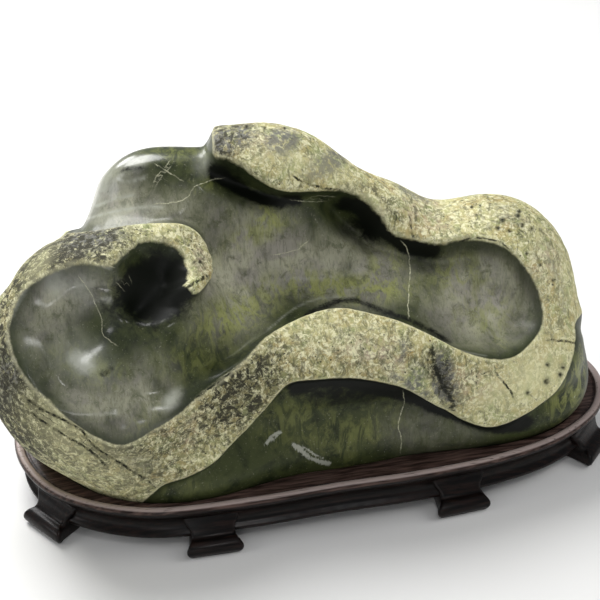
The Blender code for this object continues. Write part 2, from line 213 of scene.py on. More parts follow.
# (points of the line on the sheet ..., depth, half width)
CRACKS = (
    ((-197, -68), (-185, -77), (-171, -84), (-156, -92), (-146, -104), (-123, -119), (-112, -126),
     (-100, -134), 1.6, 1.5),
    ((-195, -77), (-183, -86), (-171, -94), (-149, -107), (-136, -120), 1.2, 1.3),
    ((174, -28), (186, -29), (197, -31), 1.1, 1.1), ((-7, 90), (0, 85), (14, 80), (32, 78), 0.8, 1),
    ((-82, -74), (-63, -62), (-43, -46), 0.9, 1.2), ((138, -50), (146, -60), (154, -72), 0.5, 1),
    ((77, 62), (79, 52), (81, 42), 0.5, 0.9),
)
# (place on the sheet: across, up; half width; depth)
PITS = (
    (176, -46, 2.3, 1.5), (187, -48, 2.2, 1.4), (185, -53, 2.4, 1.6), (175, -58, 2.6, 1.7),
    (162, -66, 2, 1.2), (141, 51, 2.2, 1.2), (144, 57, 2.4, 1), (149, 49, 1.9, 1),
    (158, 53, 2.2, 1.1), (156, 63, 2, 1), (165, 51, 2, 1), (161, 33, 1.7, 0.8), (155, 60, 2.2, 1),
    (122, 66, 1.6, 0.7), (128, 67, 1.4, 0.7), (171, 25, 1.6, 0.8), (180, 14, 1.8, 1),
    (-48, 118, 1.5, 0.9), (-38, 123, 1.8, 1), (-25, 122, 1.6, 1), (-11, 122, 1.5, 0.9),
    (-71, 27, 2, 1), (-50, 112, 1.3, 0.8), (-31, 116, 1.2, 0.7),
)

# ---- Stone: veins and scratches on the sheet ----
# name: (points of a line ..., strength)
LINES = {
    "vein": (
        ((-105, 68), (-83, 71), (-75, 80), (-64, 85), (-53, 87), 1),
        ((-21, 32), (-12, 33), (-2, 36), (7, 43), 0.8),
        ((71, 43), (77, 34), (78, 18), (77, 2), (77, -14), 1),
        ((73, -63), (74, -72), (72, -79), (70, -89), (72, -100), (71, -110), 0.8),
        ((-158, 18), (-149, 5), (-141, -14), (-140, -25), (-129, -33), 0.6),
        ((-60, -57), (-51, -52), (-43, -46), 0.8),
    ),
    "scratch": (
        ((-105, 98), (-94, 91), (-82, 84), 0.7), ((-122, 18), (-119, 11), 0.6),
        ((-131, 13), (-124, 6), 0.6), ((-149, 28), (-140, 26), (-131, 23), 0.9),
        ((6, 73), (16, 74), (26, 73), 0.5), ((-8, 71), (4, 70), (20, 70), 0.4),
    ),
    "cross": (
        ((-91, 100), (-100, 90), (-107, 80), 0.7), ((-88, 99), (-97, 89), (-104, 79), 0.5),
    ),
    "crack": [(*line, 1) for *line, _, _ in CRACKS],
}

# ---- Stone: colour laid on ----
SEEN_EDGE = (-0.15, 0.3)   # colour drawn on the sheet fades where the stone turns away
STRONGEST_TONE = 1.5
PIT_SPREAD = 1.25          # how far a pit's darkening reaches, as a share of its half width
# name of the tone: ovals on the sheet as (across, up, half width, half height, turn,
# strength); those without ovals are drawn with strokes alone
TONES = {
    # grey-lilac veil on the polish, partly the stone's own veil and partly a painted sheen of soft
    # reflected light on the valley, basin and shoulder
    "veil_and_sheen": (
        (-32, 34, 66, 48, 0, 1), (36, 20, 66, 40, -8, 0.9), (-52, 0, 46, 46, 30, 0.7),
        (128, 2, 60, 52, 0, 1.1), (-139, -75, 78, 34, -8, 0.6), (-181, -14, 38, 56, 0, 0.55),
        (-160, 11, 42, 28, 0, 0.6), (-100, 66, 64, 24, 0, 0.6), (-107, -57, 32, 34, 0, 0.45),
        (92, -92, 56, 28, 0, 0.35), (-136, 76, 44, 40, 40, 0.65),
    ),
    # painted shade: near black laid where shade falls, in the hollow under the hook, the crevices
    # under the ridge and the top of the lower face
    "painted_shade": (
        (-96, 11, 40, 42, 0, 1.1), (-122, 0, 48, 44, 0, 0.6), (88, 35, 26, 13, 0, 0.8),
        (57, 57, 28, 24, -30, 0.9), (36, 50, 38, 20, -20, 0.4), (36, -66, 84, 20, 0, 0.7),
        (101, -60, 16, 28, -25, 0.5), (-50, 94, 22, 16, -30, 0.6),
    ),
    "olive": (
        (28, 9, 70, 16, -4, 1.2), (-43, -7, 54, 22, 25, 0.9), (112, 18, 30, 24, 0, 0.8),
        (-30, 48, 36, 14, 20, 0.8), (60, 22, 20, 26, 0, 0.8), (138, -6, 24, 30, 0, 0.6),
        (-57, -32, 44, 34, 35, 0.3), (-139, -53, 26, 16, 0, 0.5), (-85, -46, 34, 26, 0, 0.25),
        (-7, -75, 46, 24, 20, 0.25), (192, -57, 24, 46, -20, 0.9), (-89, 108, 46, 14, 0, 0.5),
        (20, -92, 70, 26, 5, 0.4), (-24, 62, 16, 12, -30, 0.7),
    ),
    # darker skin, partly weathering and partly painted shade where less light falls: over the left
    # and lower left, and along the ridge's lower edge above the crevices
    "weathering_and_shade": (
        (-150, -100, 120, 60, -15, 1.3), (-200, -30, 56, 100, 0, 1.3), (-46, -66, 60, 40, 45, 1.5),
        (-158, 38, 76, 38, 20, 1.5), (-75, 35, 34, 44, 0, 0.3), (-52, 118, 40, 30, 0, 0.9),
        (0, -40, 60, 40, 0, 0.35), (60, -40, 60, 34, -10, 0.25), (-208, -90, 50, 50, 0, 1.2),
        (135, 60, 56, 24, 0, 0.35),
    ),
    "slate": (
        (-13, 113, 20, 14, 0, 1.7), (20, 97, 26, 12, 35, 1.7), (66, 94, 26, 8, -35, 0.7),
        (-150, 44, 44, 18, 15, 1.3), (-206, -50, 24, 40, 0, 1), (84, -53, 10, 18, 0, 0.8),
        (-45, 116, 24, 14, 20, 1.4), (-58, 112, 14, 18, 0, 1), (-120, -112, 40, 14, -25, 0.5),
        (104, -58, 12, 34, 15, 1), (148, 62, 30, 10, -30, 0.4),
    ),
    "rose": (
        (50, -36, 42, 22, -8, 0.9), (89, 60, 36, 20, -25, 0.7), (124, -60, 32, 20, 0, 0.8),
        (174, 28, 16, 26, 0, 0.8), (-71, 30, 14, 20, 0, 0.8), (-28, 108, 26, 16, 0, 0.5),
        (-86, -92, 26, 20, 30, 0.6),
    ),
    "dark_marks_and_shade": (),
    "shine": (
        (-145, -20, 84, 84, 20, 1.2), (-120, 95, 80, 60, 20, 1.3), (-205, 20, 44, 60, 0, 1),
        (-90, -82, 60, 44, 30, 0.8),
    ),
    # skin painted paler in patches, on the right end, the lower left and the left crest
    "paler_patches": (
        (-186, 24, 10, 26, -38, 0.5), (172, -45, 46, 40, 0, 1), (148, -66, 52, 26, 25, 0.8),
        (190, 10, 26, 60, 10, 0.5), (-172, -84, 44, 30, -35, 0.7), (-140, -116, 60, 30, -15, 0.5),
        (-8, 98, 44, 20, -10, 0.5), (30, 80, 50, 26, -35, 0.5), (30, -24, 60, 26, 0, 0.25),
    ),
    # painted highlights: soft pale spots in the bowl and on the shoulder
    "painted_highlight": (
        (-155, -44, 15, 10, -35, 1.3), (-153, -42, 34, 26, -30, 0.45), (-174, 13, 13, 17, 10, 1.1),
        (-156, 9, 16, 14, 0, 0.6), (-91, -71, 8, 15, -35, 1.2), (-130, 84, 22, 30, -20, 0.35),
        (-146, 74, 12, 34, -35, 0.8), (-115, 97, 14, 6, 25, 0.8), (-68, 96, 12, 14, 0, 0.7),
        (-128, 62, 44, 9, 12, 0.4),
    ),
    "scuff": (),
    "ochre": (
        (-167, -103, 22, 9, -20, 1.2), (-66, -80, 44, 32, 35, 0.7), (0, -36, 50, 20, 5, 0.7),
        (178, 0, 18, 28, 0, 0.9), (80, -37, 11, 10, 0, 1), (140, -56, 30, 14, 0, 0.5),
        (-120, -118, 40, 18, -20, 0.7),
    ),
}

# Tones laid on along lines: (points of the line on the sheet ..., half width, strength)
STROKES = {
    # dark marks and painted shade: the swirl in the band's cleft and small dark marks, and painted
    # shadow lines under the hook, above the band's crest, along the basin's top and under the
    # saddle
    "dark_marks_and_shade": (
        ((93, -30), (95, -44), (99, -55), (103, -64), (108, -71), (109, -82), 4.2, 1),
        ((100, -36), (104, -46), (104, -58), 4, 0.55), ((80, -28), (79, -36), (81, -43), 3, 0.6),
        ((-91, 0), (-77, 11), (-64, 18), 2.6, 1.2),
        ((0, -13), (14, -4), (32, 0), (60, -8), (85, -18), (105, -28), 1.8, 0.8),
        ((112, 41), (124, 44), (140, 42), (150, 35), 1.8, 1.1),
        ((-10, 91), (-2, 87), (11, 83), (18, 80), 1.2, 0.8),
        ((-30, 104), (-22, 100), (-12, 102), 1.2, 0.7), ((99, 41), (96, 34), (93, 27), 1.6, 0.9),
        ((177, 17), (183, 13), (182, 9), (178, 12), 1.6, 1),
        ((160, -63), (164, -68), (172, -72), (182, -66), 1.4, 0.8),
    ),
    "slate": (
        ((97, -34), (103, -46), (104, -58), (106, -76), 9, 1.1),
        ((94, -56), (97, -64), (99, -70), 4, 1.4), ((72, -26), (74, -36), (70, -46), 4, 0.9),
        # the stroke from (62, -52) is grey colour and painted shade where the band's lower edge
        # turns under
        ((62, -52), (78, -60), (96, -72), 7, 1), ((60, 92), (78, 76), (96, 70), 5, 0.9),
        ((176, 32), (185, 12), (188, -12), 4, 0.7),
    ),
    # weathering and painted shade round the band's cleft and along the ridge's lower edges above
    # the crevices
    "weathering_and_shade": (
        ((94, -32), (98, -46), (103, -60), (105, -80), 15, 1.3),
        ((-60, 116), (-56, 104), (-44, 96), (-20, 84), 5, 1),
        ((28, 80), (48, 80), (64, 66), (72, 52), 5, 0.9),
    ),
    # painted shade along the crevices, under the hook and along the top of the lower face
    "painted_shade": (
        ((-11, -64), (21, -53), (71, -64), (107, -80), (142, -90), (171, -84), 10, 1.1),
        ((0, -13), (32, 0), (60, -8), (85, -18), (110, -32), 5, 0.7),
        ((-91, 0), (-77, 11), (-64, 18), 5, 1.2), ((-68, 96), (-46, 80), (-20, 70), (7, 72), 9, 1),
        ((22, 70), (44, 66), (62, 52), (74, 40), (100, 38), 9, 1.1),
        ((-205, 12), (-197, 30), (-181, 39), 3.5, 0.9),
        ((-147, -50), (-138, -52), (-130, -44), 6, 0.5),
        ((-131, 92), (-120, 93), (-108, 95), 4.5, 0.65),
        ((-140, 76), (-124, 79), (-108, 81), 3, 0.35),
        ((-150, 60), (-130, 67), (-108, 70), 2.4, 0.3),
    ),
    # painted highlights in streaks along the left crest, in the bowl, on the shoulder and along
    # edges in the valley
    "painted_highlight": (
        ((-207, -14), (-192, 16), (-187, 30), (-178, 43), (-169, 50), 3.6, 1.1),
        ((-190, 12), (-179, 21), (-166, 23), (-156, 30), (-139, 35), (-129, 38), 2.2, 0.9),
        ((-156, 29), (-145, 26), (-133, 22), 2.6, 1.3),
        ((-131, 87), (-122, 84), (-108, 88), 2.4, 0.8),
        ((-147, 66), (-130, 72), (-116, 75), 2.4, 0.7),
        ((-154, 57), (-136, 62), (-112, 66), (-96, 66), 2, 0.6),
        ((-145, 96), (-151, 78), (-160, 62), (-166, 54), 6, 0.8),
        ((70, -22), (90, -26), (110, -35), (133, -40), 1.6, 0.9),
        ((-24, -22), (-4, -6), (14, 1), (34, 2), 1.6, 0.5),
    ),
    "scuff": (
        ((193, -71), (199, -63), 1.6, 0.9), ((-25, -104), (-20, -97), (-12, -93), 2.6, 1.3),
        ((-21, -102), (-15, -95), 1.8, 1), ((-7, -101), (1, -107), (9, -113), (23, -117), 3.2, 1.3),
        ((1, -103), (9, -109), (18, -113), 1.8, 1.1),
    ),
}

# ---- Finishes ----
CREAM = (0.54, 0.51, 0.25)
PALER_CREAM = (0.76, 0.73, 0.42)
PALE = (0.78, 0.75, 0.49)
STRAW = (0.42, 0.34, 0.14)
SAGE = (0.31, 0.36, 0.15)
ROSE = (0.48, 0.38, 0.29)
OCHRE = (0.42, 0.29, 0.10)
SLATE = (0.13, 0.13, 0.125)
BARK = (0.085, 0.085, 0.045)
SOOT = (0.040, 0.038, 0.024)
# near black, for cracks, pits and dark marks, and for painted shadow lines
DIRT_AND_SHADE = (0.012, 0.013, 0.008)
LICHEN = (0.200, 0.215, 0.105)
MOSS = (0.046, 0.056, 0.018)
BOTTLE = (0.012, 0.018, 0.006)
# near black, for painted shade and for dark marks on the polish
DEEP = (0.0025, 0.0035, 0.0015)
SMOKE = (0.430, 0.420, 0.310)
LILAC = (0.345, 0.325, 0.275)
OLIVE = (0.290, 0.310, 0.090)
# pale, for the scuffs and for painted highlights
PALE_SCUFF_AND_HIGHLIGHT = (0.42, 0.43, 0.36)
VEIN = (0.56, 0.55, 0.38)
INK_WOOD = (0.0025, 0.002, 0.0018)
RED_WOOD = (0.016, 0.008, 0.006)
ROSE_WOOD_AND_SHEEN = (0.120, 0.075, 0.062)
BEAD_HIGHLIGHT = (0.480, 0.390, 0.360)
FLOOR = (0.78, 0.775, 0.76)
# Half widths of the drawn lines, in mm
LINE_WIDTHS = {"vein": 0.52, "scratch": 0.50, "cross": 0.50, "crack": 1.25}

# ---- Studio ----
SENSOR_WIDTH = 36.0
LENS = 105.54
FLOOR_SIZE = 8.0
LIGHTS_AIM = Vector((0.0, 0.0, 0.10))
# name: (place in metres, size, power, whether the polish mirrors it)
LIGHTS = {
    "window above and behind": ((-0.45, 0.70, 1.35), 1.00, 26.0, True),
    "low window behind": ((-0.65, 1.30, 0.85), 0.60, 8.0, True),
    "window on the left": ((-1.46, -0.21, 0.76), 0.70, 3.6, True),
    "soft box on the right": ((1.40, -0.25, 1.15), 1.20, 10.0, False),
    "weak fill in front": ((-0.60, -1.50, 0.90), 1.20, 2.4, False),
    "lamp over the bowl": ((0.13, -0.95, 1.30), 0.26, 2.2, True),
    "lamp in front of the bowl": ((-0.42, -1.54, 0.48), 0.30, 1.6, True),
}
WORLD_LIGHT = ((0.92, 0.95, 1.0), 0.25)


# ---------------------------------------------------------------- stone's shape
def mass_distance(points, middle, half_sizes):
    """Roughly the distance from an ellipsoid, negative inside."""
    offset = points - np.array(middle, float)
    half_sizes = np.array(half_sizes, float)
    scaled = np.linalg.norm(offset / half_sizes, axis=1)
    slope = np.linalg.norm(offset / half_sizes ** 2, axis=1)
    return scaled * (scaled - 1.0) / np.maximum(slope, TINY)


def unit(vectors):
    """The vectors, each one long."""
    return vectors / np.linalg.norm(vectors, axis=1, keepdims=True)


def noise_at(points, pace):
    """Slow noise at each point, with this many waves to a mm."""
    return np.array([noise.noise(Vector(point) * pace) for point in points])


def blank_distance(points):
    """Roughly the distance from the uncarved blank, negative inside."""
    total = None
    for middle, half_sizes in MASSES.values():
        distance = mass_distance(points, middle, half_sizes)
        if total is None:
            total = distance
            continue
        share = np.clip(0.5 + 0.5 * (distance - total) / MASS_BLEND, 0.0, 1.0)
        total = distance * (1.0 - share) + total * share - MASS_BLEND * share * (1.0 - share)
    return total


def blank_normals(points):
    """The directions in which the blank's skin faces."""
    gradient = np.empty_like(points)
    for axis in range(3):
        offset = np.zeros(3)
        offset[axis] = SLOPE_STEP
        gradient[:, axis] = blank_distance(points + offset) - blank_distance(points - offset)
    return unit(gradient)


def reach_blank(directions):
    """The blank's skin along rays that fan out from a level spine inside it."""
    aim = directions * np.array(STONE_REACH)
    start = np.zeros_like(aim)
    start[:, 0] = directions[:, 0] * SPINE_HALF_LENGTH
    aim = unit(aim - start)
    start[:, 2] = SPINE_HEIGHT
    reach = np.full((len(aim), 1), FAR_OUT)
    steps, share = SKIN_SEARCH
    for _ in range(steps):
        reach -= share * blank_distance(start + aim * reach)[:, None]
    return start + aim * reach


def to_sheet(points):
    """Where each point shows on the drawing sheet."""
    offset = points - SHEET_MIDDLE
    scale = EYE_DISTANCE / (EYE_DISTANCE - offset @ TO_EYE)
    return np.stack((offset @ RIGHT * scale, offset @ UP * scale), axis=1)


def between(before, here, after, later, t):
    """A spot on the smooth curve through four corners, from here (t = 0) to after (t = 1)."""
    return 0.5 * (2 * here + (after - before) * t
                  + (2 * before - 5 * here + 4 * after - later) * t * t
                  + (3 * here - before - 3 * after + later) * t ** 3)


def smooth_outline(corners):
    """A closed smooth curve through the corners, as short chords."""
    here = np.array(corners, float)
    before, after, later = (np.roll(here, turn, axis=0) for turn in (1, -1, -2))
    rows = [between(before, here, after, later, t)
            for t in np.arange(OUTLINE_STEPS) / OUTLINE_STEPS]
    return np.stack(rows, axis=1).reshape(-1, here.shape[1])


def smooth_line(corners, steps):
    """An open smooth curve through the corners, as short chords."""
    here = np.array(corners, float)
    ends = np.vstack((2 * here[0] - here[1], here, 2 * here[-1] - here[-2]))
    rows = [between(*four, t) for four in zip(ends, ends[1:], ends[2:], ends[3:])
            for t in np.arange(steps) / steps]
    return np.array(rows + [here[-1]])


def depth_inside(spots, corners, reach):
    """Distance from the outline, positive inside, for spots within reach of it."""
    outline = smooth_outline(corners)
    result = np.full(len(spots), -reach)
    low = outline.min(axis=0) - reach
    high = outline.max(axis=0) + reach
    near = np.nonzero(np.all((spots > low) & (spots < high), axis=1))[0]
    best = np.full(len(near), np.inf)
    inside = np.zeros(len(near), bool)
    x, y = spots[near].T
    for (ax, ay), (bx, by) in zip(outline, np.roll(outline, -1, axis=0)):
        ex, ey = bx - ax, by - ay
        along = np.clip(((x - ax) * ex + (y - ay) * ey) / (ex * ex + ey * ey), 0.0, 1.0)
        best = np.minimum(best, (x - ax - along * ex) ** 2 + (y - ay - along * ey) ** 2)
        crosses = (ay > y) != (by > y)
        if crosses.any():
            inside ^= crosses & (x < ax + (y - ay) * ex / (ey if ey else TINY))
    result[near] = np.where(inside, np.sqrt(best), -np.sqrt(best))
    return np.maximum(result, -reach)


def ramp(value, start=0.0, spread=1.0):
    """A smooth rise from 0 at the start to 1 where the spread ends."""
    value = np.clip((value - start) / spread, 0.0, 1.0)
    return value * value * (3.0 - 2.0 * value)


def dish(spots, middle, half_sizes, turn):
    """A smooth hollow: 1 at its middle, 0 from its oval edge outwards."""
    cosine, sine = math.cos(math.radians(turn)), math.sin(math.radians(turn))
    across, along = (spots - np.array(middle)).T
    u = (across * cosine + along * sine) / half_sizes[0]
    v = (along * cosine - across * sine) / half_sizes[1]
    return np.clip(1.0 - u * u - v * v, 0.0, None) ** 2


def facing_eye(points, normals):
    """1 where the surface looks straight at the eye, -1 where straight away."""
    gaze = unit(SHEET_MIDDLE + TO_EYE * EYE_DISTANCE - points)
    return np.einsum("ij,ij->i", normals, gaze)


def carving_seen(facing, spots):
    """1 where the front's carving is whole, fading to 0 as the stone turns away."""
    wrapped = ramp(WRAP_FULLNESS * sum(dish(spots, *oval) for oval in WRAPS))
    return ramp(facing + WRAP_REACH * wrapped, *FRONT_FADE)


def back_wander(points):
    """How far the back's edge strays from its even course."""
    amount, pace = BACK_WANDER
    return amount * noise_at(points, pace)


def above_seat(points):
    """0 down at the stand's ledge, rising to 1 above it."""
    return ramp(points[:, 2] - LEDGE_HEIGHT, *SEATED_FADE)


def cut_depths(points, normals):
    """How far the skin at each point of the blank is cut back."""
    facing = facing_eye(points, normals)
    spots = to_sheet(points)
    eased = sum(extra * dish(spots, middle, half_sizes, turn)
                for middle, half_sizes, turn, extra in EASED_WALLS)
    shares = {}
    for name, (depth, slope, corners) in CUTS.items():
        inside = depth_inside(spots, corners, EDGE_ROUNDING)
        shares[name] = ramp((inside + EDGE_ROUNDING) / (slope + eased + EDGE_ROUNDING))
    front = sum(CUTS[name][0] * share for name, share in shares.items())
    for within, middle, half_sizes, turn, depth in HOLLOWS.values():
        front += depth * dish(spots, middle, half_sizes, turn) * shares[within]
    front *= carving_seen(facing, spots)
    back = BACK_CUT * ramp((-facing - BACK_START + back_wander(points)) / BACK_SPREAD)
    return np.maximum(front, back) * above_seat(points)


def skin_left(points, normals):
    """Distance in mm from the nearest cut's edge, positive on the uncut skin."""
    facing = facing_eye(points, normals)
    spots = to_sheet(points)
    inside = np.full(len(points), -EDGE_REACH)
    for name in POLISHED_CUTS:
        inside = np.maximum(inside, depth_inside(spots, CUTS[name][2], EDGE_REACH))
    seen = carving_seen(facing, spots)
    front = -(inside * seen - EDGE_REACH * (1.0 - seen))
    back = (facing + BACK_START - back_wander(points)) * BACK_CURVE
    return np.clip(np.minimum(front, back), -EDGE_REACH, EDGE_REACH)


def along_lines(spots, lines, reach=LINE_REACH, end_fade=LINE_END_FADE):
    """Signed distance to the nearest line in mm, and its strength, 0 past its ends."""
    best = np.full(len(spots), float(reach))
    signed = best.copy()
    strength = np.zeros(len(spots))
    for *corners, weight in lines:
        curve = smooth_line(corners, LINE_STEPS)
        lengths = np.linalg.norm(np.diff(curve, axis=0), axis=1)
        run = np.concatenate(((0.0,), np.cumsum(lengths)))
        near = np.nonzero(np.all((spots > curve.min(axis=0) - reach)
                                 & (spots < curve.max(axis=0) + reach), axis=1))[0]
        for start, end, done, length in zip(curve, curve[1:], run, lengths):
            edge = end - start
            offset = spots[near] - start
            place = np.clip(offset @ edge / length ** 2, 0.0, 1.0)
            away = np.linalg.norm(offset - place[:, None] * edge, axis=1)
            side = np.where(edge[0] * offset[:, 1] - edge[1] * offset[:, 0] < 0.0, -1.0, 1.0)
            closer = away < best[near]
            chosen = near[closer]
            best[chosen] = away[closer]
            signed[chosen] = (side * away)[closer]
            reached = done + place[closer] * length
            fade = np.clip(np.minimum(reached, run[-1] - reached) / end_fade, 0.0, 1.0)
            strength[chosen] = weight * fade
    return signed, strength * ramp((reach - np.abs(signed)) / LINE_FADE)


def ripples(points, waves):
    """Slow unevenness of a surface, as the sum of a few sizes of noise."""
    return sum(height * noise_at(points, pace) for pace, height in waves)


def small_relief(places, blank, normals):
    """How far outwards each point of the carved stone is moved by its small relief."""
    spots = to_sheet(places)
    skin = ramp(skin_left(blank, normals), *SKIN_STEP)
    relief = ripples(places, SKIN_LUMPS) * skin + ripples(places, POLISH_RIPPLES) * (1.0 - skin)
    seen = ramp(facing_eye(blank, normals) / RELIEF_EDGE)
    for *corners, depth, half_width in CRACKS:
        signed, strength = along_lines(spots, ((*corners, 1),))
        relief -= depth * strength * seen * ramp(1.0 - np.abs(signed) / half_width)
    for across, up, half_width, depth in PITS:
        away = np.hypot(spots[:, 0] - across, spots[:, 1] - up)
        relief -= depth * seen * ramp(1.0 - away / half_width)
    return relief * above_seat(places)


def mesh_arrays(mesh):
    """The mesh's points in mm, and the directions in which they face."""
    places = np.empty(len(mesh.vertices) * 3)
    mesh.vertices.foreach_get("co", places)
    directions = np.empty(len(mesh.vertices) * 3)
    mesh.vertices.foreach_get("normal", directions)
    return places.reshape(-1, 3) / MM, directions.reshape(-1, 3)


def set_places(mesh, places):
    """Moves the mesh's points to places in mm."""
    mesh.vertices.foreach_set("co", (places * MM).astype(np.float32).ravel())
    mesh.update()


def add_object(name, data):
    """A new object in the scene."""
    obj = bpy.data.objects.new(name, data)
    bpy.context.scene.collection.objects.link(obj)
    return obj


def keep_in_box(mesh, node):
    """Holds the mesh's points within the box of the solid that it replaces."""
    low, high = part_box(node)
    places, _ = mesh_arrays(mesh)
    places = np.clip(places, np.array(low) / MM, np.array(high) / MM)
    set_places(mesh, places)
    return places


def modified(obj):
    """A new mesh: the object's, with its modifiers applied and then removed."""
    bpy.context.view_layer.update()
    seen = obj.evaluated_get(bpy.context.evaluated_depsgraph_get())
    mesh = bpy.data.meshes.new_from_object(seen)
    obj.modifiers.clear()
    obj.data = mesh
    return mesh


def blank_tracer(carved, blank, faces):
    """A function that gives the uncut blank's spots, from which carved ones were cut."""
    tree = BVHTree.FromPolygons(carved.tolist(), faces.tolist())

    def trace(places):
        hits = [tree.find_nearest(Vector(place)) for place in places]
        found = np.array([spot[:] for spot, _, _, _ in hits])
        corners = faces[[face for _, _, face, _ in hits]]
        a, b, c = (carved[corners[:, k]] for k in range(3))
        across = np.cross(b - a, c - a)
        area = np.maximum(np.einsum("ij,ij->i", across, across), TINY)
        share_c = np.einsum("ij,ij->i", np.cross(b - a, found - a), across) / area
        share_b = np.einsum("ij,ij->i", np.cross(found - a, c - a), across) / area
        shares = (1.0 - share_b - share_c, share_b, share_c)
        return sum(blank[corners[:, k]] * shares[k][:, None] for k in range(3))

    return trace


def flat_base(mesh):
    """Cuts the stone off level at the bottom of the seat and closes it."""
    body = bmesh.new()
    body.from_mesh(mesh)
    level = (LEDGE_HEIGHT - SEAT_DEPTH) * MM
    bmesh.ops.bisect_plane(body, geom=body.verts[:] + body.edges[:] + body.faces[:], dist=1e-7,
                           plane_co=(0, 0, level), plane_no=(0, 0, -1), clear_outer=True)
    open_edges = [edge for edge in body.edges if edge.is_boundary]
    bmesh.ops.holes_fill(body, edges=open_edges)
    bmesh.ops.recalc_face_normals(body, faces=body.faces)
    body.to_mesh(mesh)
    body.free()


def build_stone():
    """The carved stone, as one even mesh with its small relief and painted tones."""
    body = bmesh.new()
    bmesh.ops.create_icosphere(body, subdivisions=BALL_SUBDIVISIONS, radius=1.0)
    directions = np.array([vertex.co[:] for vertex in body.verts])
    faces = np.array([[vertex.index for vertex in face.verts] for face in body.faces])
    blank = reach_blank(directions)
    normals = blank_normals(blank)
    carved = blank - normals * cut_depths(blank, normals)[:, None]
    mesh = bpy.data.meshes.new("stone")
    body.to_mesh(mesh)
    body.free()
    set_places(mesh, carved)
    stone = add_object("stone", mesh)
    trace = blank_tracer(carved, blank, faces)

    even = stone.modifiers.new("even faces", "REMESH")
    even.mode = "VOXEL"
    even.voxel_size = STONE_GRAIN * MM
    soften = stone.modifiers.new("soften", "SMOOTH")
    soften.factor, soften.iterations = SOFTENING
    mesh = modified(stone)
    places, outward = mesh_arrays(mesh)
    origin = trace(places)
    relief = small_relief(places, origin, blank_normals(origin))
    set_places(mesh, places + outward * relief[:, None])

    triangles = sum(len(face.vertices) - 2 for face in mesh.polygons)
    in_front = ramp(facing_eye(origin, blank_normals(origin)), *THINNING_EDGE)
    thinning = (BACK_THINNING - (BACK_THINNING - FRONT_THINNING) * in_front).round(2)
    group = stone.vertex_groups.new(name="thinning")
    for level in np.unique(thinning):
        chosen = np.nonzero(thinning == level)[0]
        group.add(chosen.tolist(), float(level), "REPLACE")
    thin = stone.modifiers.new("fewer faces", "DECIMATE")
    thin.ratio = min(1.0, STONE_TRIANGLES / triangles)
    thin.vertex_group = "thinning"
    mesh = modified(stone)
    flat_base(mesh)
    places = keep_in_box(mesh, "rock")
    mesh.shade_smooth()
    paint_stone(mesh, places, trace(places))
    return stone


def paint_stone(mesh, places, blank):
    """Writes what the stone's finish needs at each point: edges, tones and lines."""
    normals = blank_normals(blank)
    spots = to_sheet(places)
    seen = ramp(facing_eye(blank, normals), *SEEN_EDGE)

    def keep(name, values):
        layer = mesh.attributes.new(name, "FLOAT", "POINT")
        layer.data.foreach_set("value", values.astype(np.float32))

    keep("skin_left", skin_left(blank, normals))
    for name, ovals in TONES.items():
        total = sum(strength * dish(spots, (across, up), half_sizes, turn)
                    for across, up, *half_sizes, turn, strength in ovals)
        for *corners, half_width, strength in STROKES.get(name, ()):
            line = (*corners, strength)
            away, fade = along_lines(spots, (line,), half_width, half_width)
            total += fade * ramp(1.0 - np.abs(away) / half_width)
        keep(name, np.clip(total, 0.0, STRONGEST_TONE) * seen)
    for name, lines in LINES.items():
        signed, strength = along_lines(spots, lines)
        keep(name + "_across", signed)
        keep(name + "_strength", strength * seen)
    pits = np.zeros(len(places))
    for across, up, half_width, _ in PITS:
        away = np.hypot(spots[:, 0] - across, spots[:, 1] - up)
        pits = np.maximum(pits, ramp(PIT_SPREAD - away / half_width))
    keep("pit", pits * seen)
    keep("unseen", 1.0 - seen)


# ---------------------------------------------------------------- stand's shape
BEARINGS = np.arange(STAND_STATIONS) * (2.0 * math.pi / STAND_STATIONS)
DIRECTIONS = np.stack((np.cos(BEARINGS), np.sin(BEARINGS)), axis=1)


def stone_section(height):
    """The blank's outline at one height, at each bearing round the stand's middle."""
    radii = np.full((STAND_STATIONS, 1), FAR_OUT)
    level = np.full_like(radii, height)
    steps, share = SECTION_SEARCH
    for _ in range(steps):
        radii -= share * blank_distance(np.hstack((DIRECTIONS * radii, level)))[:, None]
    return DIRECTIONS * radii


def rim_outline():
    """The rim's outer edge at each bearing round the stand's middle."""
    curve = smooth_outline(RIM_OUTLINE)
    angles = np.arctan2(curve[:, 1], curve[:, 0])
    radii = np.interp(BEARINGS, angles, np.hypot(*curve.T), period=2.0 * math.pi)
    return DIRECTIONS * radii[:, None]


def offset_outline(outline, width):
    """The outline moved outwards by a width."""
    along = np.roll(outline, -1, axis=0) - np.roll(outline, 1, axis=0)
    return outline + unit(np.stack((along[:, 1], -along[:, 0]), axis=1)) * width


def wood_rings():
    """The rings of the wood's section, each run bending smoothly within itself."""
    outlines = {"seat": stone_section(LEDGE_HEIGHT), "rim": rim_outline()}
    rings = []
    for name, run in WOOD_RUNS:
        corners = [np.column_stack((offset_outline(outlines[name], out),
                                    np.full(STAND_STATIONS, LEDGE_HEIGHT + height)))
                   for out, height in run]
        if len(corners) < 3:
            rings += corners
            continue
        flat = np.array(corners).reshape(len(corners), -1)
        rings += [row.reshape(-1, 3) for row in smooth_line(flat, PROFILE_STEPS)]
    return rings


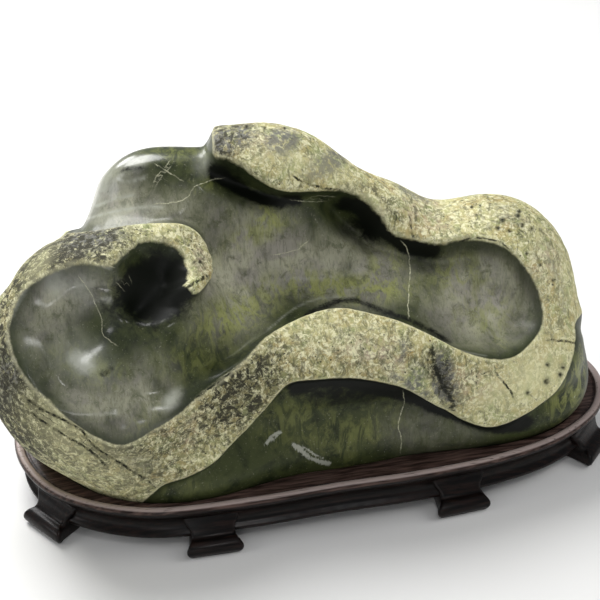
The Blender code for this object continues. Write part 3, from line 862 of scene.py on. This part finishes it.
def build_foot(bearing):
    """A scroll foot as a rounded slab, its outline standing square to the rim."""
    rim = rim_outline()
    station = round(bearing / 360.0 * STAND_STATIONS) % STAND_STATIONS
    here = np.array((*rim[station], 0.0))
    along = rim[(station + 1) % STAND_STATIONS] - rim[station - 1]
    outward = np.array((along[1], -along[0], 0.0)) / np.hypot(*along)
    sideways = np.array((-outward[1], outward[0], 0.0))
    curve = smooth_outline(FOOT_OUTLINE)
    curve[:, 1] = np.maximum(curve[:, 1], 0.0)
    edge = np.roll(curve[:, :2], -1, axis=0) - np.roll(curve[:, :2], 1, axis=0)
    inward = unit(np.stack((-edge[:, 1], edge[:, 0]), axis=1))
    middle = curve[:, :2].mean(axis=0)
    if np.einsum("ij,ij->", inward, middle - curve[:, :2]) < 0.0:
        inward = -inward
    rows = []
    turns = np.linspace(0.0, math.pi / 2, FOOT_STEPS + 1)
    for side, angles in ((-1.0, turns), (1.0, turns[::-1])):
        for angle in angles:
            shrink = FOOT_ROUNDING * (1.0 - math.sin(angle))
            half = curve[:, 2] - FOOT_ROUNDING * (1.0 - math.cos(angle))
            side_view = curve[:, :2] + inward * shrink
            side_view[:, 1] = np.maximum(side_view[:, 1], 0.0)
            rows.append(here + side_view[:, :1] * outward + (side * half)[:, None] * sideways
                        + side_view[:, 1:] * np.array((0.0, 0.0, 1.0)))
    return rows


def mesh_from_rows(name, bodies):
    """A mesh of tubes with closed ends, each given as its closed rows of points."""
    body = bmesh.new()
    for rows in bodies:
        rings = [[body.verts.new(place * MM) for place in row] for row in rows]
        count = len(rings[0])
        for inner, outer in zip(rings, rings[1:]):
            for i in range(count):
                j = (i + 1) % count
                body.faces.new((inner[i], outer[i], outer[j], inner[j]))
        body.faces.new(rings[0])
        body.faces.new(rings[-1])
    bmesh.ops.recalc_face_normals(body, faces=body.faces)
    mesh = bpy.data.meshes.new(name)
    body.to_mesh(mesh)
    body.free()
    return mesh


def build_stand():
    """The stand's turned section with its scroll feet joined on."""
    wood = mesh_from_rows("hardwood_stand", [wood_rings()])
    blanks = mesh_from_rows("feet", [build_foot(bearing) for bearing in FOOT_BEARINGS])
    stand = add_object("hardwood_stand", wood)
    feet = add_object("feet blanks", blanks)
    join = stand.modifiers.new("feet", "BOOLEAN")
    join.operation = "UNION"
    join.object = feet
    mesh = modified(stand)
    bpy.data.objects.remove(feet, do_unlink=True)
    keep_in_box(mesh, "stand")
    mesh.shade_smooth()
    mesh.set_sharp_from_angle(angle=SHARP_EDGE)
    return stand


# ---------------------------------------------------------------- finishes
class Wire:
    """A shader value; sums, differences and products of wires add Math nodes."""

    def __init__(self, finish, socket):
        self.finish = finish
        self.socket = socket

    def maths(self, operation, first, second):
        return self.finish.node("ShaderNodeMath", {"operation": operation}, {0: first, 1: second})

    def __add__(self, other):
        return self.maths("ADD", self, other)

    def __sub__(self, other):
        return self.maths("SUBTRACT", self, other)

    def __rsub__(self, other):
        return self.maths("SUBTRACT", other, self)

    def __mul__(self, other):
        return self.maths("MULTIPLY", self, other)

    __radd__ = __add__
    __rmul__ = __mul__


class Finish:
    """A material's node tree."""

    def __init__(self, name):
        self.material = bpy.data.materials.new(name)
        self.material.use_nodes = True
        self.tree = self.material.node_tree
        self.shader = self.tree.nodes["Principled BSDF"]

    def node(self, kind, settings=None, inputs=None, output=0):
        made = self.tree.nodes.new(kind)
        for name, value in (settings or {}).items():
            setattr(made, name, value)
        for name, value in (inputs or {}).items():
            if isinstance(value, Wire):
                self.tree.links.new(value.socket, made.inputs[name])
            else:
                made.inputs[name].default_value = value
        return Wire(self, made.outputs[output])

    def place(self):
        return self.node("ShaderNodeTexCoord", output="Object")

    def painted(self, name):
        """A tone or a distance that is kept on the mesh."""
        return self.node("ShaderNodeAttribute", {"attribute_name": name}, output="Fac")

    def cloud(self, size, detail=3.0, roughness=0.5, distortion=0.0, stretch=(1, 1, 1)):
        """Noise whose features are about size mm across, from 0 to 1."""
        where = self.node("ShaderNodeVectorMath", {"operation": "MULTIPLY"},
                          {0: self.place(), 1: stretch})
        return self.node("ShaderNodeTexNoise", None, {
            "Vector": where, "Scale": 1.0 / (size * MM), "Detail": detail,
            "Roughness": roughness, "Distortion": distortion})

    def torn(self, value, amount, *cloud):
        """The value, made uneven by a cloud: up to half the amount more or less."""
        return value + (self.cloud(*cloud) - 0.5) * amount

    def patches(self, low, high, *cloud):
        """Patches that start where a cloud passes low and are whole above high."""
        return self.step(self.cloud(*cloud), low, high)

    def cells(self, size, feature="F1", warp=0.0):
        """Distance to the nearest of many scattered points, about size mm apart."""
        bend = self.node("ShaderNodeTexNoise", None, {
            "Vector": self.place(), "Scale": 1.0 / (size * MM), "Detail": 3.0}, output="Color")
        where = self.node("ShaderNodeVectorMath", {"operation": "MULTIPLY_ADD"},
                          {0: bend, 1: (warp * MM,) * 3, 2: self.place()})
        return self.node("ShaderNodeTexVoronoi", {"feature": feature}, {
            "Vector": where, "Scale": 1.0 / (size * MM)})

    def step(self, value, low, high):
        """0 below low, 1 above high, with a smooth rise between."""
        return self.node("ShaderNodeMapRange", {"interpolation_type": "SMOOTHSTEP"}, {
            "Value": value, "From Min": low, "From Max": high})

    def clamp(self, value):
        return self.node("ShaderNodeClamp", None, {"Value": value})

    def mix(self, share, below, above):
        """Colour below, covered by colour above as far as share says, from 0 to 1."""
        colours = [value if isinstance(value, Wire) else (*value, 1.0) for value in (below, above)]
        return self.node("ShaderNodeMix", {"data_type": "RGBA"},
                         {0: share, 6: colours[0], 7: colours[1]}, output=2)

    def coats(self, ground, *layers):
        """The ground colour under layers of (share, colour), the last one on top."""
        for share, colour in layers:
            ground = self.mix(share, ground, colour)
        return ground

    def bump(self, height, distance, strength=1.0):
        return self.node("ShaderNodeBump", None, {
            "Height": height, "Distance": distance * MM, "Strength": strength})

    def feed(self, name, value):
        socket = self.shader.inputs[name]
        if isinstance(value, Wire):
            self.tree.links.new(value.socket, socket)
        else:
            socket.default_value = value


def line_mask(finish, name):
    """1 on a painted line, thin and a little uneven."""
    half_width = LINE_WIDTHS[name]
    across = finish.torn(finish.painted(name + "_across"), 3.6, 6, 5, 0.7)
    away = finish.node("ShaderNodeMath", {"operation": "ABSOLUTE"}, {0: across})
    thin = 1 - finish.step(away, half_width * 0.3, half_width)
    uneven = finish.patches(0.40, 0.60, 3.5, 4, 0.7) * 0.75 + 0.25
    return thin * finish.painted(name + "_strength") * uneven


def skin_colour(finish, edge):
    """The pale uncut skin: cream, with tints, speckles and dark patches that are partly weathering
    and partly painted shade.
    """
    cloud, painted, patches, step = finish.cloud, finish.painted, finish.patches, finish.step
    run = (1, 0.6, 0.6)
    weathering_and_shade = painted("weathering_and_shade")
    rose = painted("rose") + patches(0.56, 0.72, 21, 3) * 0.45
    ochre = painted("ochre") * patches(0.38, 0.60, 6, 5, 0.65)
    grains = patches(0.48, 0.60, 4.2, 6, 0.72, 1) * (0.95 - weathering_and_shade * 0.25)
    seams = 1 - step(finish.cells(11, "DISTANCE_TO_EDGE", warp=9), 0, 0.04)
    slate = painted("slate") + patches(0.60, 0.72, 19, 5, 0.7) * 0.6
    slate = finish.clamp(slate * patches(0.36, 0.58, 4, 5, 0.7, 0.5))
    dark = step(cloud(5.5, 6, 0.78, 0.6) + weathering_and_shade * 0.06, 0.53, 0.64)
    pits = 1 - step(finish.cells(4.6), 0.08, 0.17)
    gathered = step(cloud(14, 2) + weathering_and_shade * 0.12, 0.44, 0.54)
    paler_patches = finish.clamp(painted("paler_patches") * (cloud(10, 5, 0.7) * 0.7 + 0.35))
    dark_marks_and_shade = step(finish.torn(painted("dark_marks_and_shade"), 3, 4, 6, 0.75, 0.8), 0.30, 1)
    return finish.coats(
        CREAM,
        (patches(0.40, 0.66, 24, 4, 0.6), STRAW),
        (patches(0.47, 0.66, 15, 5, 0.65, 0.6) * 0.85, SAGE),
        (rose * patches(0.36, 0.58, 5, 4), ROSE),
        (ochre * 0.9, OCHRE),
        (patches(0.49, 0.60, 9, 6, 0.72, 1.2) * 0.65, LICHEN),
        # darker where weathered and where shade is painted
        (weathering_and_shade * 0.50, BARK),
        (grains, PALE),
        (patches(0.51, 0.61, 6.5, 6, 0.76, 1.2, run) * 0.72, BARK),
        (seams * patches(0.50, 0.62, 18, 3) * 0.55, LICHEN),
        (patches(0.54, 0.66, 1.5, 3, 0.6, 0, run) * 0.55, PALE),
        (slate * 0.88, SLATE),
        (dark * (weathering_and_shade * 0.55 + 0.40), SOOT),
        (pits * gathered * 0.9, DIRT_AND_SHADE),
        # paler patches of skin
        (paler_patches * 0.60, PALER_CREAM),
        (edge * cloud(5, 4) * 0.55, PALE),
        (painted("pit"), DIRT_AND_SHADE),
        # dark marks and painted shadow lines
        (dark_marks_and_shade * step(painted("dark_marks_and_shade"), 0, 0.5) * 0.9, DIRT_AND_SHADE),
        (line_mask(finish, "crack"), DIRT_AND_SHADE))


def polished_colour(finish, painted_shade, edge):
    """The carved inside: dark green under a grey veil that is partly a painted sheen, flecked with
    olive, with painted shade, painted highlights and a painted shadow line along the cuts' edges.
    """
    cloud, painted, patches, step = finish.cloud, finish.painted, finish.patches, finish.step
    run = (1, 0.6, 0.45)
    veil_and_sheen = painted("veil_and_sheen") + painted("unseen") * patches(0.46, 0.66, 60, 3) * 0.5
    veil_and_sheen_mask = finish.clamp(veil_and_sheen * (patches(0.26, 0.62, 12, 5, 0.65, 0.6, run) * 0.75 + 0.32))
    haze = finish.mix(patches(0.42, 0.60, 22, 4, 0.6), SMOKE, LILAC)
    olive = painted("olive") + patches(0.52, 0.72, 32, 3) * 0.35
    olive = finish.clamp(olive * patches(0.43, 0.58, 8, 6, 0.72, 0.9, run))
    nicks = patches(0.66, 0.72, 1.8, 3, 0.6, 0, (2.6, 2.6, 0.5)) * finish.clamp(veil_and_sheen)
    painted_highlight = finish.clamp(painted("painted_highlight") * (cloud(5, 4, 0.6, 0.6) * 1.4 + 0.2))
    scuff = step(finish.torn(painted("scuff"), 3.6, 3.2, 6, 0.75, 1.5, run), 0.25, 1)
    dark_marks_and_shade = step(finish.torn(painted("dark_marks_and_shade"), 1.2, 3, 5, 0.7, 0.5), 0.35, 0.9)
    return finish.coats(
        MOSS,
        (patches(0.40, 0.66, 15, 5, 0.65, 0.5), BOTTLE),
        # the grey veil, partly a painted sheen
        (veil_and_sheen_mask * 0.90, haze),
        (olive * 0.80, OLIVE),
        (patches(0.52, 0.68, 9, 5, 0.7, 0.5) * 0.55, MOSS),
        (patches(0.48, 0.66, 2.6, 4, 0.7, 0.2, (2.2, 1, 0.30)) * 0.38, MOSS),
        (patches(0.62, 0.72, 1.4, 3, 0.6) * 0.30, SMOKE),
        (nicks * 0.45, VEIN),
        # painted highlights
        (painted_highlight * 0.80, PALE_SCUFF_AND_HIGHLIGHT),
        (scuff * step(painted("scuff"), 0, 0.35) * 0.80, PALE_SCUFF_AND_HIGHLIGHT),
        # painted shadow line on the polish along a cut's edge
        (edge * 0.55, BOTTLE),
        # painted shade, near black
        (painted_shade, DEEP),
        # dark marks and painted shadow lines
        (dark_marks_and_shade * 0.9, DEEP),
        *((line_mask(finish, name), VEIN) for name in ("vein", "scratch", "cross")))


def stone_finish():
    """Matt skin and glossier polish, parted along the cuts' slightly ragged edges."""
    finish = Finish("polished_green_stone")
    cloud, painted, step = finish.cloud, finish.painted, finish.step
    level = finish.torn(painted("skin_left"), 1.5, 4, 5, 0.65)
    skin = step(level, -0.5, 0.6)
    # the painted shade, made ragged at its edges; the polish keeps no shine there
    torn = (cloud(7, 6, 0.75, 0.6) - 0.5) * 1.3 * step(painted("painted_shade"), 0, 0.3)
    painted_shade = step(painted("painted_shade") + torn, 0.22, 0.80)
    finish.feed("Base Color", finish.mix(
        skin, polished_colour(finish, painted_shade, step(level, -6, -0.8)),
        skin_colour(finish, 1 - step(level, 0.6, 3))))
    shine = (1 - skin) * (1 - painted_shade) * finish.clamp(painted("shine") + 0.12)
    finish.feed("Roughness", cloud(9, 4, 0.6) * 0.16 + 0.46 + skin * 0.24 - shine * 0.22)
    finish.feed("Coat Weight", shine * 0.70)
    finish.feed("Coat Roughness", 0.16)
    finish.feed("Specular IOR Level", 0.22)
    grain = cloud(1.3, 4, 0.65) * 0.6 + cloud(4.5, 4, 0.6) * 0.9
    pits = step(finish.cells(4.6), 0.05, 0.17) * 0.5
    relief = (grain + pits) * skin + cloud(9, 2) * (1 - skin) * 0.12
    finish.feed("Normal", finish.bump(relief, 0.45, 0.8))
    return finish.material


def wood_finish():
    """Near-black lacquer, browner on the ledge's top, partly a painted sheen, with a painted
    highlight along the bead's crest.
    """
    finish = Finish("dark_lacquered_hardwood")
    step = finish.step
    grain = finish.cloud(2, 5, 0.6, 0.3, (0.08, 1, 1))
    ledge = finish.mix(step(grain, 0.35, 0.70), RED_WOOD, ROSE_WOOD_AND_SHEEN)
    side = finish.mix(step(grain, 0.40, 0.72), INK_WOOD, RED_WOOD)
    pores = finish.patches(0.60, 0.72, 0.9, 2, 0.5, 0, (0.06, 1, 1))
    height = finish.node("ShaderNodeSeparateXYZ", None, {0: finish.place()}, output="Z")
    finish.feed("Base Color", finish.coats(
        side,
        # browner wood on top, partly a painted sheen
        (step(height, 0.0340, 0.0356) * 0.85, ledge),
        # painted highlight along the bead's crest
        (step(height, 0.0364, 0.0374) * 0.7, BEAD_HIGHLIGHT),
        (pores * 0.8, INK_WOOD)))
    finish.feed("Roughness", finish.cloud(12, 3) * 0.16 + 0.26)
    finish.feed("Coat Weight", 0.08)
    finish.feed("Coat Roughness", 0.20)
    finish.feed("Specular IOR Level", 0.16)
    finish.feed("Normal", finish.bump(grain * 0.5 - pores * 0.6, 0.20, 0.6))
    return finish.material


def floor_finish():
    finish = Finish("pale_floor")
    finish.feed("Base Color", (*FLOOR, 1.0))
    finish.feed("Roughness", 0.75)
    return finish.material


# ---------------------------------------------------------------- studio
def add_floor():
    bpy.ops.mesh.primitive_plane_add(size=FLOOR_SIZE)
    floor = bpy.context.object
    floor.name = "floor"
    floor.data.materials.append(floor_finish())


def add_camera():
    """The eye that the drawing sheet was seen from."""
    camera = add_object("camera", bpy.data.cameras.new("camera"))
    camera.data.sensor_width = SENSOR_WIDTH
    camera.data.lens = LENS
    camera.location = Vector((SHEET_MIDDLE + TO_EYE * EYE_DISTANCE) * MM)
    camera.rotation_euler = (math.pi / 2 - EYE_TILT, 0.0, EYE_TURN)
    bpy.context.scene.camera = camera


def add_lights():
    """The lamps, all turned to the stone, and a faint light from all round."""
    for name, (place, size, power, mirrored) in LIGHTS.items():
        lamp = bpy.data.lights.new(name, "AREA")
        lamp.shape = "DISK"
        lamp.size = size
        lamp.energy = power
        light = add_object(name, lamp)
        light.visible_glossy = mirrored
        light.location = place
        aim = LIGHTS_AIM - light.location
        light.rotation_euler = aim.to_track_quat("-Z", "Y").to_euler()
    world = bpy.data.worlds.new("studio")
    world.use_nodes = True
    colour, strength = WORLD_LIGHT
    background = world.node_tree.nodes["Background"]
    background.inputs["Color"].default_value = (*colour, 1.0)
    background.inputs["Strength"].default_value = strength
    bpy.context.scene.world = world


# ---------------------------------------------------------------- assembly
def dress(piece, material):
    """Gives the piece its one finish."""
    piece.data.materials.clear()
    piece.data.materials.append(material)


add_camera()
add_floor()
add_lights()
bpy.context.scene.view_settings.view_transform = "Standard"

stone = build_stone()
dress(stone, stone_finish())
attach(stone, "root")
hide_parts("rock")

stand = build_stand()
dress(stand, wood_finish())
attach(stand, "root")
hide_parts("stand")
